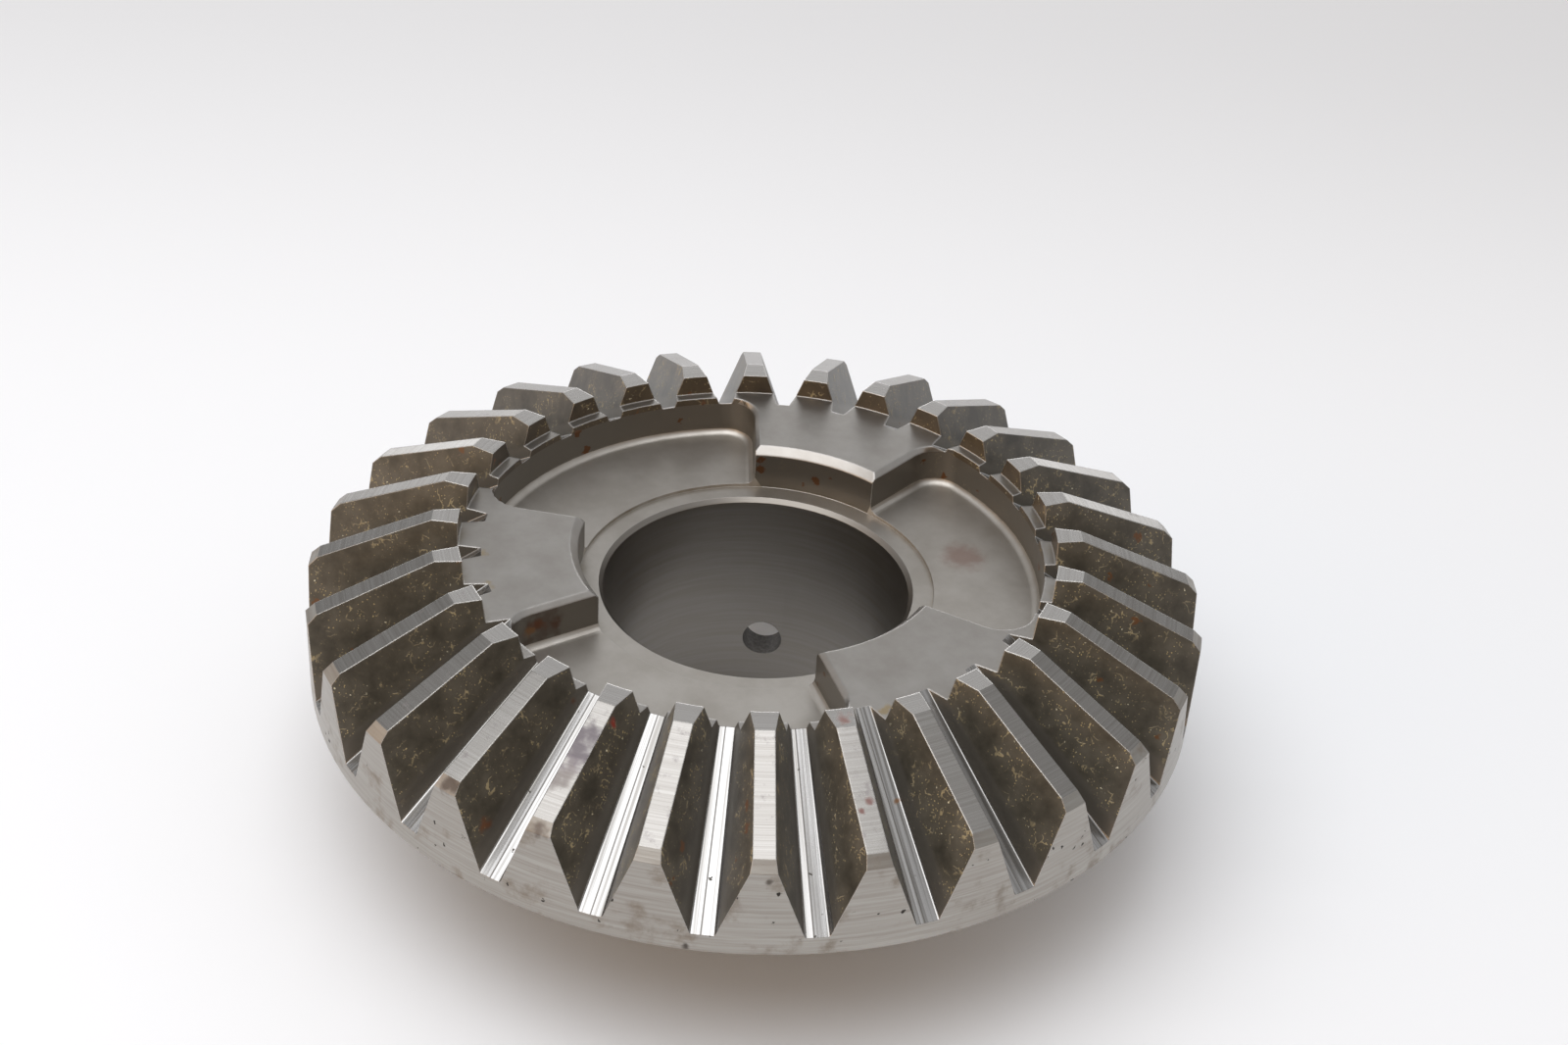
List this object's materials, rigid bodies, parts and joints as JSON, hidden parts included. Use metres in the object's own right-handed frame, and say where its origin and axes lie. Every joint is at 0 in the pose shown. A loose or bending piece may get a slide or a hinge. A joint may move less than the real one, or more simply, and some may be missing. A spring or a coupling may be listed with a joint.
{
  "type": "bevel gear",
  "caption": "Straight bevel reverse gear with a dog clutch face, a plain bore, a short hub behind the rim and an oil hole through the hub.",
  "frame": {"origin": "centre of the bore at the end of the hub, on which the gear stands", "axes": "+Z along the bore from the hub to the teeth, +X through the middle of the dog that lines up with a tooth"},
  "size_m": [0.071, 0.071, 0.025],
  "materials": {
    "gear_steel": "turned and milled steel, satin, with dark oil varnish on the flanks"
  },
  "bodies": {
    "root": {"reverse_gear": "gear_steel"}
  },
  "joints": []
}
